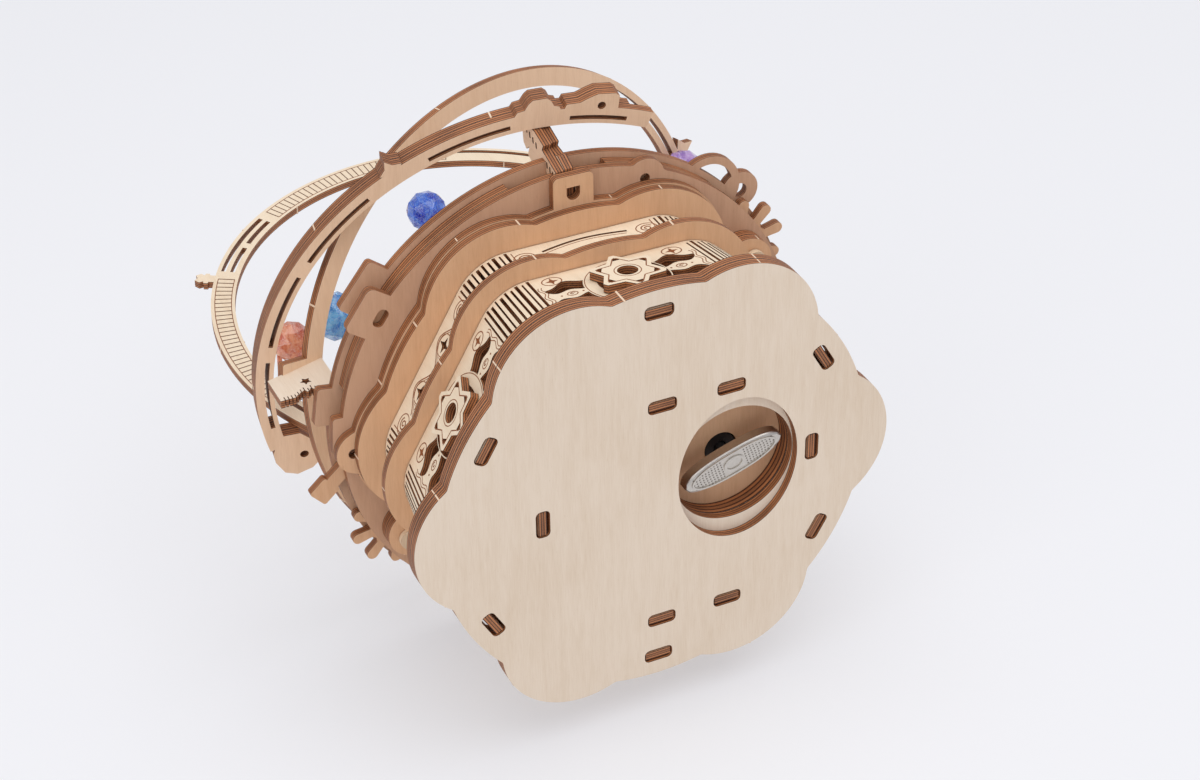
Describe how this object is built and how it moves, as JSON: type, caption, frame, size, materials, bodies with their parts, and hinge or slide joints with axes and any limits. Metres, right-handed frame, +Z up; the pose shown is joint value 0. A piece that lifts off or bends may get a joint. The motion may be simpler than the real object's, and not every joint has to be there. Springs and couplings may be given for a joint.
{
  "type": "hand-wound music box",
  "caption": "Hexagonal hand-wound music box of laser-cut plywood; a key in its base drives finger gears and planet beads turning inside tilted armillary rings.",
  "frame": {"origin": "centre of the resting base's underside, on the rotor's axis", "axes": "+Z up along the rotor's axis from the base to the top of the upright ring, -Y to the front panel with the arm, +X to the right-hand finger gear's side"},
  "size_m": [0.1648, 0.1654, 0.2107],
  "materials": {
    "birch_plywood": "laser cut birch plywood, pale face and burnt brown edges",
    "nickel": "stamped nickel plated key",
    "steel": "plain steel shafts and comb",
    "brass": "plain machined brass",
    "orange_bead": "faceted translucent acrylic, orange",
    "lavender_bead": "faceted translucent acrylic, pale lavender",
    "purple_bead": "faceted translucent acrylic, purple",
    "amber_bead": "faceted translucent acrylic, amber",
    "cobalt_bead": "faceted crackled acrylic, cobalt blue",
    "sky_blue_bead": "faceted crackled acrylic, sky blue",
    "emerald_bead": "faceted crackled acrylic, emerald"
  },
  "bodies": {
    "frame": {"base_plate": "birch_plywood", "base_liner": "birch_plywood", "recess_ring": "birch_plywood", "recess_floor": "birch_plywood", "rib_front": "birch_plywood", "rib_back": "birch_plywood", "rib_right": "birch_plywood", "rib_left": "birch_plywood", "lower_wall": "birch_plywood", "middle_plate": "birch_plywood", "upper_wall": "birch_plywood", "wing_plate": "birch_plywood", "lobe_plate": "birch_plywood", "round_plate": "birch_plywood", "spacer_1": "birch_plywood", "spacer_2": "birch_plywood", "spacer_3": "birch_plywood", "top_plate": "birch_plywood", "movement_bed": "brass", "comb": "steel", "comb_block": "brass", "side_axle_right": "birch_plywood", "side_axle_left": "birch_plywood", "graduated_ring": "birch_plywood", "horizon_band_lower": "birch_plywood", "horizon_band_upper": "birch_plywood", "front_arm_left": "birch_plywood", "front_arm_right": "birch_plywood", "orbit_ring": "birch_plywood", "foot_plate": "birch_plywood", "bead_orange": "orange_bead", "bead_lavender": "lavender_bead", "bead_purple": "purple_bead", "rosette_1": "birch_plywood", "rosette_2": "birch_plywood", "rosette_3": "birch_plywood", "rosette_4": "birch_plywood", "rosette_5": "birch_plywood", "rosette_6": "birch_plywood"},
    "winder": {"winding_key": "nickel", "winding_arbor": "steel", "spring_barrel": "brass", "drive_pinion": "birch_plywood"},
    "cylinder": {"pinned_cylinder": "brass"},
    "governor_fan": {"governor": "brass"},
    "rotor": {"rotor_shaft": "steel", "centre_pinion": "birch_plywood", "sky_gear": "birch_plywood", "planet_arms": "birch_plywood", "sun": "amber_bead", "planet_cobalt": "cobalt_bead", "planet_sky_blue": "sky_blue_bead", "planet_emerald": "emerald_bead", "planet_amber": "amber_bead"},
    "right_wheel": {"side_gear_right": "birch_plywood"},
    "left_wheel": {"side_gear_left": "birch_plywood"},
    "lever": {"stop_lever": "birch_plywood"}
  },
  "joints": [
    {"name": "sky_turns", "type": "hinge", "parent": "frame", "child": "rotor", "pos_m": [0, 0, 0.058], "axis": [0, 0, 1], "continuous": true},
    {"name": "key_winds", "type": "hinge", "parent": "frame", "child": "winder", "pos_m": [0.0242, 0, 0.058], "axis": [0, 0, 1], "continuous": true},
    {"name": "cylinder_turns", "type": "hinge", "parent": "frame", "child": "cylinder", "pos_m": [0.0002, 0, 0.058], "axis": [0, 0, 1], "continuous": true},
    {"name": "governor_spins", "type": "hinge", "parent": "frame", "child": "governor_fan", "pos_m": [0.0242, 0.0192, 0.058], "axis": [0, 0, 1], "continuous": true},
    {"name": "right_wheel_turns", "type": "hinge", "parent": "frame", "child": "right_wheel", "pos_m": [0.05449, -0.03146, 0.058], "axis": [0, 0, 1], "continuous": true},
    {"name": "left_wheel_turns", "type": "hinge", "parent": "frame", "child": "left_wheel", "pos_m": [-0.05449, 0.03146, 0.058], "axis": [0, 0, 1], "continuous": true},
    {"name": "stop_lever_swings", "type": "hinge", "parent": "frame", "child": "lever", "pos_m": [-0.064, 0.004, 0.058], "axis": [0, 0, 1], "range_deg": [-10, 8]}
  ],
  "couplings": [
    {"joint": "key_winds", "follows": "sky_turns", "ratio": -1},
    {"joint": "cylinder_turns", "follows": "sky_turns", "ratio": 1.5},
    {"joint": "governor_spins", "follows": "sky_turns", "ratio": 3},
    {"joint": "right_wheel_turns", "follows": "sky_turns", "ratio": -4.2},
    {"joint": "left_wheel_turns", "follows": "sky_turns", "ratio": -4.2}
  ]
}
